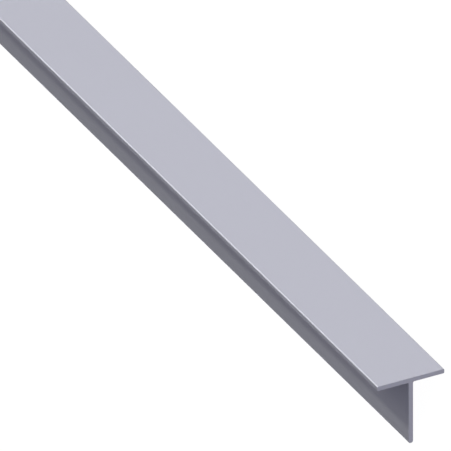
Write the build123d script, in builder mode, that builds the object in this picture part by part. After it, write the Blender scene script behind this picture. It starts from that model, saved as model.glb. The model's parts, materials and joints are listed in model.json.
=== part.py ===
from build123d import *
import os
from math import asin, atan2, cos, degrees, hypot, sin

# One length of extruded aluminium tee: a flat flange with a web standing on the middle of its
# inner face. It is a single piece of stock, sawn square at both ends.
# Millimetres, Z up. The bar runs along Y, and the origin is on the floor below the middle of
# the bar's outer box.

# The section, as the die gives it
flange_width = 30.0
section_depth = 30.0  # from the flange's outer face to the web's toe
flange_thickness = 2.0
web_thickness = 2.0
edge_radius = 0.5  # the flange's four long edges
toe_flat = 0.4  # left between the two rounded edges of the web's toe
root_radius = 0.6  # the two inside corners where the web meets the flange

toe_radius = (web_thickness - toe_flat) / 2

# The cut
bar_length = 1000.0
end_break = 0.1  # burr taken off round the sawn ends

# Section coordinates: x across the flange, y outwards through it, zero at the middle of its
# outer face. The centres of the rounded corners that the outer box touches:
flange_top_corner = (flange_width / 2 - edge_radius, -edge_radius)
flange_floor_corner = (flange_width / 2 - edge_radius, edge_radius - flange_thickness)
toe_floor_corner = (web_thickness / 2 - toe_radius, toe_radius - section_depth)
toe_far_corner = (toe_radius - web_thickness / 2, toe_radius - section_depth)

# Left alone on a floor with its web down, the bar falls onto its side. It then rests on the
# flange's lower edge and the web's toe, whose rounded corners stand on the floor together.
# The line between their centres climbs towards the toe, which has the larger radius.
rest_run = flange_floor_corner[0] - toe_floor_corner[0]
rest_rise = flange_floor_corner[1] - toe_floor_corner[1]
climb = asin((toe_radius - edge_radius) / hypot(rest_run, rest_rise))
rest_angle = atan2(rest_rise, rest_run) + climb


# Where a point of the section lies once the bar is on its side
def sideways(x, y):
    return x * cos(rest_angle) + y * sin(rest_angle)


def upwards(x, y):
    return y * cos(rest_angle) - x * sin(rest_angle)


lowest = upwards(*flange_floor_corner) - edge_radius
rightmost = sideways(*flange_top_corner) + edge_radius
leftmost = sideways(*toe_far_corner) - toe_radius

section_plane = Plane(
    origin=(-(leftmost + rightmost) / 2, 0, -lowest),
    x_dir=(cos(rest_angle), 0, -sin(rest_angle)),
    z_dir=(0, -1, 0),
)

with BuildPart() as tee_bar:
    with BuildSketch(section_plane) as section:
        # Flange and web both hang from the outer face, so their tops are in one line
        Rectangle(flange_width, flange_thickness, align=(Align.CENTER, Align.MAX))
        Rectangle(web_thickness, section_depth, align=(Align.CENTER, Align.MAX))

        # Level with the flange's inner face lie its two corners and, between them, the roots
        roots = section.vertices().group_by(Axis.Y)[1].sort_by(Axis.X)[1:-1]
        fillet(roots, radius=root_radius)

        # The flange's corners stand furthest out to both sides, the toe's furthest down
        by_side = section.vertices().group_by(Axis.X)
        fillet(by_side[0] + by_side[-1], radius=edge_radius)
        toe_corners = section.vertices().group_by(Axis.Y)[0]
        fillet(toe_corners, radius=toe_radius)
    extrude(amount=bar_length / 2, both=True)

    sawn_ends = faces().filter_by(Axis.Y)
    chamfer(sawn_ends.edges(), length=end_break)

tee_bar.part.label = "tee_bar"
print("rest angle of the flange", round(degrees(rest_angle), 2), "degrees from the floor")

os.makedirs("parts", exist_ok=True)
export_step(tee_bar.part, "parts/tee_bar.step")
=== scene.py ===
import json
import math

import bpy
import numpy as np
from mathutils import Matrix, Vector


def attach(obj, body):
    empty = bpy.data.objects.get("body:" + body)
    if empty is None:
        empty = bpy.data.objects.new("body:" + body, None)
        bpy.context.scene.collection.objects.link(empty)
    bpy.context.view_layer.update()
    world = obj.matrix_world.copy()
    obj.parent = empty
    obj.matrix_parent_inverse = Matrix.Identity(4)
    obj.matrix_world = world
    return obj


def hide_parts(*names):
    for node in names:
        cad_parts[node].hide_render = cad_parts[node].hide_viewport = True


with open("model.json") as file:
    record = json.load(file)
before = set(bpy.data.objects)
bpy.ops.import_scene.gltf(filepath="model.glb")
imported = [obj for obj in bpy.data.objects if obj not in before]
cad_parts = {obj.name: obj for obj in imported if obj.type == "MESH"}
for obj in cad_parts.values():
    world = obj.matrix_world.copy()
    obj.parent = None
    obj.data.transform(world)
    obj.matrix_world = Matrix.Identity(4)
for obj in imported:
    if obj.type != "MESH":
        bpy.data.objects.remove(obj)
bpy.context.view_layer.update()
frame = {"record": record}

# A length of extruded aluminium tee, lying on its side as it comes to rest.
# Metres. The bar's own axes: x across the flange, y along the bar, z out of the flange.

mounts = {mount["name"]: mount for mount in frame["record"]["mounts"]}

# The flange's outer face gives the bar's axes and its place, the sawn ends its length
outOfFlange = Vector(mounts["flange_face"]["axis"]).normalized()
alongBar = Vector(mounts["sawn_end_far"]["axis"]).normalized()
acrossFlange = alongBar.cross(outOfFlange)
faceMiddle = Vector(mounts["flange_face"]["pos_m"])
nearEnd = mounts["sawn_end_near"]["pos_m"][1]
farEnd = mounts["sawn_end_far"]["pos_m"][1]

barToFrame = Matrix((acrossFlange, alongBar, outOfFlange)).transposed().to_4x4()
barToFrame.translation = (faceMiddle.x, 0, faceMiddle.z)


# A direction on the bar's own axes as one in the frame: each part times its axis, added up.
def barWay(x, y, z):
    return (barToFrame.to_3x3() @ Vector((x, y, z))).normalized()


# The bar

teeBar = dict(
    flangeWidth=0.030,
    sectionDepth=0.030,       # outer face to the web's toe
    flangeThickness=0.002,
    webThickness=0.002,
    edgeRadius=0.0005,        # the flange's long edges
    toeRadius=0.0008,         # the web's toe
    rootRadius=0.0006,        # where web and flange meet
    endBreak=0.0001,          # burr taken off the sawn ends
    arcSteps=10,              # faces round each rounded corner
    landWidth=0.00012,        # flat strip beside each rounding and end, keeps the flats shading flat
    stations=41,              # rings along the bar
)


# The section as a closed loop of points (x, z), with a quarter arc at each of its eight corners.
# A corner is reached along the unit way a and left along b, square to it. The arc's centre is
# corner - r a + r b, and its points are centre + r (a sin t - b cos t), t from 0 to 90 degrees.
# One point of the flat stands a land's width before the arc and one after it. The inset moves
# every side inwards: outer radii shrink by it and root radii grow.
def outlineOf(size, inset):
    halfFlange = size["flangeWidth"] / 2 - inset
    halfWeb = size["webThickness"] / 2 - inset
    top = -inset
    under = -size["flangeThickness"] + inset
    toe = -size["sectionDepth"] + inset
    corners = np.array([
        (-halfFlange, top), (-halfFlange, under), (-halfWeb, under), (-halfWeb, toe),
        (halfWeb, toe), (halfWeb, under), (halfFlange, under), (halfFlange, top),
    ])
    edge = size["edgeRadius"] - inset
    root = size["rootRadius"] + inset
    end = size["toeRadius"] - inset
    radius = np.array([edge, edge, root, end, end, root, edge, edge])[:, None, None]

    wayIn = corners - np.roll(corners, 1, axis=0)
    wayIn = (wayIn / np.linalg.norm(wayIn, axis=1, keepdims=True))[:, None, :]
    wayOut = np.roll(wayIn, -1, axis=0)
    turn = np.linspace(0, np.pi / 2, size["arcSteps"] + 1)[None, :, None]
    centre = corners[:, None, :] - radius * wayIn + radius * wayOut
    arcs = centre + radius * (wayIn * np.sin(turn) - wayOut * np.cos(turn))
    before = arcs[:, :1] - size["landWidth"] * wayIn
    after = arcs[:, -1:] + size["landWidth"] * wayOut
    return np.concatenate([before, arcs, after], axis=1).reshape(-1, 2)


# The outline carried along the bar: ring i is the outline at distance y[i], and each face joins
# two neighbours on ring i to the same two on ring i + 1. The first and last rings are drawn in
# by the end break, so the ends are chamfered, with a land's width to the next ring, and one face
# closes each end.
def barSurface(size):
    full = outlineOf(size, 0.0)
    drawnIn = outlineOf(size, size["endBreak"])
    firstFull, lastFull = nearEnd + size["endBreak"], farEnd - size["endBreak"]
    inner = np.linspace(firstFull + size["landWidth"], lastFull - size["landWidth"], size["stations"])
    along = np.concatenate([[nearEnd, firstFull], inner, [lastFull, farEnd]])
    rings = np.stack([drawnIn] + [full] * (size["stations"] + 2) + [drawnIn])
    ringCount, pointCount = rings.shape[:2]

    points = np.empty((ringCount, pointCount, 3))
    points[:, :, 0] = rings[:, :, 0]
    points[:, :, 1] = along[:, None]
    points[:, :, 2] = rings[:, :, 1]

    number = np.arange(ringCount * pointCount).reshape(ringCount, pointCount)
    following = np.roll(number, -1, axis=1)
    sides = np.stack([number[:-1], following[:-1], following[1:], number[1:]], axis=-1).reshape(-1, 4)
    caps = (number[0][::-1], number[-1])
    return points.reshape(-1, 3), sides, caps, pointCount


# Places the surface in the frame (turned by the bar's axes, then moved) and makes it an object.
# The long sides shade smooth and take material 0, the sawn faces and their broken edges shade
# flat and take material 1.
def makeBar(size):
    points, sides, caps, pointCount = barSurface(size)
    placed = points @ np.array(barToFrame.to_3x3()).T + np.array(barToFrame.translation)
    mesh = bpy.data.meshes.new("tee_bar_surface")
    mesh.from_pydata(placed.tolist(), [], sides.tolist() + [cap.tolist() for cap in caps])

    sawn = np.zeros(len(mesh.polygons), dtype=np.int32)
    sawn[:pointCount] = 1
    sawn[-pointCount - len(caps):] = 1
    mesh.polygons.foreach_set("use_smooth", sawn == 0)
    mesh.polygons.foreach_set("material_index", sawn)
    mesh.update()
    bar = bpy.data.objects.new("tee_bar_surface", mesh)
    bpy.context.scene.collection.objects.link(bar)
    print("bar:", len(mesh.vertices), "points,", len(mesh.polygons), "faces")
    return bar


# Finishes

satinLook = dict(
    colour=(0.684, 0.684, 0.786),
    metallic=0.7,             # the rest is light that the etched skin scatters
    roughness=0.60,
    toneSpread=0.010,         # part of the colour that the tone varies by, each way
    roughnessSpread=0.03,
    lineWidth=0.0008,         # widest die lines, the finest are an eighth of it
    lineLength=0.5,
    lineDepth=0.0000025,
    lineDetail=3.0,           # times that the noise is halved in size and added again
    frostSize=0.00012,        # grain of the etched skin
    frostDepth=0.0000012,
    frostDetail=1.0,
    cloudSize=0.08,           # broad tone
    cloudDetail=2.0,
)

sawnLook = dict(
    colour=(0.735, 0.733, 0.842),
    metallic=0.7,
    roughness=0.60,
    toneSpread=0.020,
    roughnessSpread=0.05,
    bladeCentre=(0.070, 0.0, 0.125),   # the saw's marks are arcs about this point
    markPitch=0.0008,         # coarsest marks, the finest are an eighth of it
    markDepth=0.000004,
    markDetail=3.0,
)

noiseRange = (0.3, 0.7)       # nearly all of a noise lies between these
noiseRoughness = 0.6          # share that each finer noise has of the one before


# Adds a node, sets its properties, and sets or links the inputs that are named.
def addNode(tree, kind, inputs=None, **settings):
    node = tree.nodes.new(kind)
    for name, value in settings.items():
        setattr(node, name, value)
    for name, value in (inputs or {}).items():
        if isinstance(value, bpy.types.NodeSocket):
            tree.links.new(value, node.inputs[name])
        else:
            node.inputs[name].default_value = value
    return node


# An empty material and its node tree.
def newMaterial(name):
    material = bpy.data.materials.new(name)
    material.use_nodes = True
    material.node_tree.nodes.clear()
    return material, material.node_tree


# The point that is shaded, on the bar's own axes: the frame's point less the bar's place, turned back.
def placeOnBar(tree):
    point = addNode(tree, "ShaderNodeTexCoord").outputs["Object"]
    return addNode(tree, "ShaderNodeMapping", {
        "Vector": point, "Location": barToFrame.translation, "Rotation": barToFrame.to_euler(),
    }, vector_type="TEXTURE").outputs["Vector"]


# Noise whose cells are as long as the three cell sizes, on the bar's own axes.
def noiseOf(tree, place, cell, detail):
    stretched = addNode(tree, "ShaderNodeMapping", {
        "Vector": place, "Scale": [1 / length for length in cell],
    })
    return addNode(tree, "ShaderNodeTexNoise", {
        "Vector": stretched.outputs["Vector"],
        "Scale": 1.0, "Detail": detail, "Roughness": noiseRoughness,
    }).outputs["Fac"]


# The colour less its spread where the pattern is low, plus its spread where it is high.
def toneOf(tree, pattern, look):
    ramp = addNode(tree, "ShaderNodeValToRGB", {"Fac": pattern})
    dark, light = ramp.color_ramp.elements
    dark.position, light.position = noiseRange
    dark.color = (*[part * (1 - look["toneSpread"]) for part in look["colour"]], 1)
    light.color = (*[part * (1 + look["toneSpread"]) for part in look["colour"]], 1)
    return ramp.outputs["Color"]


# The roughness less its spread where the pattern is low, plus its spread where it is high.
def roughnessOf(tree, pattern, look):
    low, high = noiseRange
    return addNode(tree, "ShaderNodeMapRange", {
        "Value": pattern, "From Min": low, "From Max": high,
        "To Min": look["roughness"] - look["roughnessSpread"],
        "To Max": look["roughness"] + look["roughnessSpread"],
    }).outputs["Result"]


# Height as relief of the given depth, over the relief that the normal already has.
def reliefOf(tree, height, depth, normal=None):
    inputs = {"Height": height, "Distance": depth}
    if normal:
        inputs["Normal"] = normal
    return addNode(tree, "ShaderNodeBump", inputs).outputs["Normal"]


# Metal whose tone and roughness follow their patterns, with the relief in its normal.
def finishMetal(tree, look, tonePattern, roughnessPattern, relief):
    shader = addNode(tree, "ShaderNodeBsdfPrincipled", {
        "Base Color": toneOf(tree, tonePattern, look),
        "Metallic": look["metallic"],
        "Roughness": roughnessOf(tree, roughnessPattern, look),
        "Normal": relief,
    })
    addNode(tree, "ShaderNodeOutputMaterial", {"Surface": shader.outputs["BSDF"]})


# Etched and anodised skin: fine lines from the die run the length of the bar under a frosted
# grain, and the tone drifts a little. Tone follows the mean of lines and drift.
def satinAluminium(look):
    material, tree = newMaterial("satin_skin")
    place = placeOnBar(tree)
    lineCell = (look["lineWidth"], look["lineLength"], look["lineWidth"])
    lines = noiseOf(tree, place, lineCell, look["lineDetail"])
    frost = noiseOf(tree, place, [look["frostSize"]] * 3, look["frostDetail"])
    cloud = noiseOf(tree, place, [look["cloudSize"]] * 3, look["cloudDetail"])
    both = addNode(tree, "ShaderNodeMath", {0: lines, 1: cloud}, operation="ADD").outputs[0]
    mean = addNode(tree, "ShaderNodeMath", {0: both, 1: 0.5}, operation="MULTIPLY").outputs[0]
    grain = reliefOf(tree, frost, look["frostDepth"])
    relief = reliefOf(tree, lines, look["lineDepth"], grain)
    finishMetal(tree, look, mean, lines, relief)
    return material


# Sawn metal: the blade's teeth leave arcs, so the pattern is noise of the distance from the
# blade's centre, taken across the bar.
def sawnAluminium(look):
    material, tree = newMaterial("sawn_end")
    across = addNode(tree, "ShaderNodeVectorMath", {
        0: placeOnBar(tree), 1: (1, 0, 1),
    }, operation="MULTIPLY")
    fromBlade = addNode(tree, "ShaderNodeVectorMath", {
        0: across.outputs["Vector"], 1: look["bladeCentre"],
    }, operation="DISTANCE")
    marks = addNode(tree, "ShaderNodeTexNoise", {
        "W": fromBlade.outputs["Value"], "Scale": 1 / look["markPitch"],
        "Detail": look["markDetail"], "Roughness": noiseRoughness,
    }, noise_dimensions="1D").outputs["Fac"]
    finishMetal(tree, look, marks, marks, reliefOf(tree, marks, look["markDepth"]))
    return material


bar = makeBar(teeBar)
bar.data.materials.append(satinAluminium(satinLook))
bar.data.materials.append(sawnAluminium(sawnLook))
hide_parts("tee_bar")
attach(bar, "root")
print("finishes: satin skin and sawn ends")


# Floor

floorLook = dict(size=120.0, colour=(0.08, 0.08, 0.08), glow=0.98)


# A white table lit from inside, as for a cut-out photograph. It is a square in z = 0, and shows
# its own glow plus the lamps' light, so that it just reaches white.
def makeFloor(look):
    half = look["size"] / 2
    mesh = bpy.data.meshes.new("studio_floor")
    corners = [(-half, -half, 0), (half, -half, 0), (half, half, 0), (-half, half, 0)]
    mesh.from_pydata(corners, [], [(0, 1, 2, 3)])
    floor = bpy.data.objects.new("studio_floor", mesh)
    bpy.context.scene.collection.objects.link(floor)
    material, tree = newMaterial("pale_floor")
    lit = addNode(tree, "ShaderNodeBsdfDiffuse", {"Color": (*look["colour"], 1)})
    glow = addNode(tree, "ShaderNodeEmission", {"Strength": look["glow"]})
    both = addNode(tree, "ShaderNodeAddShader", {
        0: lit.outputs["BSDF"], 1: glow.outputs["Emission"],
    })
    addNode(tree, "ShaderNodeOutputMaterial", {"Surface": both.outputs["Shader"]})
    mesh.materials.append(material)
    floor.visible_glossy = False      # the bar mirrors the studio's walls, not the white table
    floor.visible_diffuse = False
    floor.visible_shadow = False      # lamps also shine up through it


makeFloor(floorLook)


# Light: lamps named for where they stand, with ways on the bar's own axes. All are soft but the
# one over the bar, which draws the edge of the flange's shadow on the web.

lights = dict(
    front=dict(way=(0.15, -0.93, 0.25), strength=0.86, angle=50.0, colour=(0.99, 1.0, 1.03)),
    left=dict(way=(-0.79, -0.30, 0.535), strength=0.40, angle=50.0, colour=(1.0, 1.0, 1.03)),
    high=dict(way=(-0.53, 0.45, 0.70), strength=0.56, angle=25.0, colour=(0.98, 1.0, 0.84)),
    over=dict(way=(-0.5508, 0.0, 0.8341), strength=0.685, angle=3.5, colour=(0.99, 1.0, 0.79)),
    side=dict(way=(0.09, 0.75, 0.626), strength=0.645, angle=70.0, colour=(0.99, 1.0, 1.0)),
    rim=dict(way=(-0.20, 0.756, 0.62), strength=0.52, angle=20.0, colour=(1.01, 1.0, 1.01)),
    under=dict(way=(0.20, 0.756, -0.62), strength=0.90, angle=30.0, colour=(0.98, 1.0, 1.08)),
)
wallLook = dict(
    fillColour=(1.0, 1.0, 1.13),
    fill=0.122,               # how strongly the walls light the bar
    seenColour=(1.0, 1.0, 1.0),
    seen=1.0,                 # how bright they look past the floor
)


# A sun lamp that shines from the given side: its own z axis is turned to point that way.
def addSun(name, look):
    data = bpy.data.lights.new(name, "SUN")
    data.energy = look["strength"]
    data.angle = math.radians(look["angle"])
    data.color = look["colour"]
    lamp = bpy.data.objects.new(name, data)
    lamp.rotation_mode = "QUATERNION"
    lamp.rotation_quaternion = barWay(*look["way"]).to_track_quat("Z", "Y")
    bpy.context.scene.collection.objects.link(lamp)


# The studio's walls, all round: white where they are seen, and the fill light everywhere else.
def makeWalls(look):
    world = bpy.data.worlds.new("studio")
    world.use_nodes = True
    tree = world.node_tree
    tree.nodes.clear()
    fill = addNode(tree, "ShaderNodeBackground", {
        "Color": (*look["fillColour"], 1), "Strength": look["fill"],
    })
    seen = addNode(tree, "ShaderNodeBackground", {
        "Color": (*look["seenColour"], 1), "Strength": look["seen"],
    })
    walls = addNode(tree, "ShaderNodeMixShader", {
        0: addNode(tree, "ShaderNodeLightPath").outputs["Is Camera Ray"],
        1: fill.outputs["Background"], 2: seen.outputs["Background"],
    })
    addNode(tree, "ShaderNodeOutputWorld", {"Surface": walls.outputs["Shader"]})
    bpy.context.scene.world = world


for lampName, lampLook in lights.items():
    addSun(lampName, lampLook)
makeWalls(wallLook)
bpy.context.scene.view_settings.view_transform = "Standard"
print("studio: floor, walls and", len(lights), "lamps")


# Camera

photoView = dict(
    turn=27.86,               # degrees round the bar, towards the flange's left edge
    height=31.03,             # degrees above the flange's face
    frameWidth=0.1784,        # metres across the picture
    distance=2.0,
    picture=451,              # pixels
    cornerPixel=(377.4, 387.1),   # where the near end's left corner of the outer face shows
    clipNear=0.01,
    clipFar=104.0,            # past the floor's far side in a low view
)


# A camera without perspective, set back from the bar along the viewing way. Its middle is moved
# so that the near corner of the flange's outer face lands on its pixel: the corner less that
# pixel's offset from the picture's middle, in metres.
def makeCamera(look):
    turn, height = math.radians(look["turn"]), math.radians(look["height"])
    back = barWay(
        -math.sin(turn) * math.cos(height), -math.cos(turn) * math.cos(height), math.sin(height),
    )
    right = barWay(math.cos(turn), -math.sin(turn), 0)
    up = back.cross(right)
    data = bpy.data.cameras.new("photo_view")
    data.type = "ORTHO"
    data.ortho_scale = look["frameWidth"]
    data.clip_start = look["clipNear"]
    data.clip_end = look["clipFar"]
    camera = bpy.data.objects.new("photo_view", data)
    bpy.context.scene.collection.objects.link(camera)

    corner = barToFrame @ Vector((-teeBar["flangeWidth"] / 2, nearEnd, 0))
    pixel = look["frameWidth"] / look["picture"]
    offRight = (look["cornerPixel"][0] - look["picture"] / 2) * pixel
    offUp = (look["picture"] / 2 - look["cornerPixel"][1]) * pixel
    middle = corner - right * offRight - up * offUp
    turnMatrix = Matrix((right, up, back)).transposed().to_4x4()
    camera.matrix_world = Matrix.Translation(middle + back * look["distance"]) @ turnMatrix
    bpy.context.scene.camera = camera


makeCamera(photoView)
print("camera: as the photo looks at the bar")
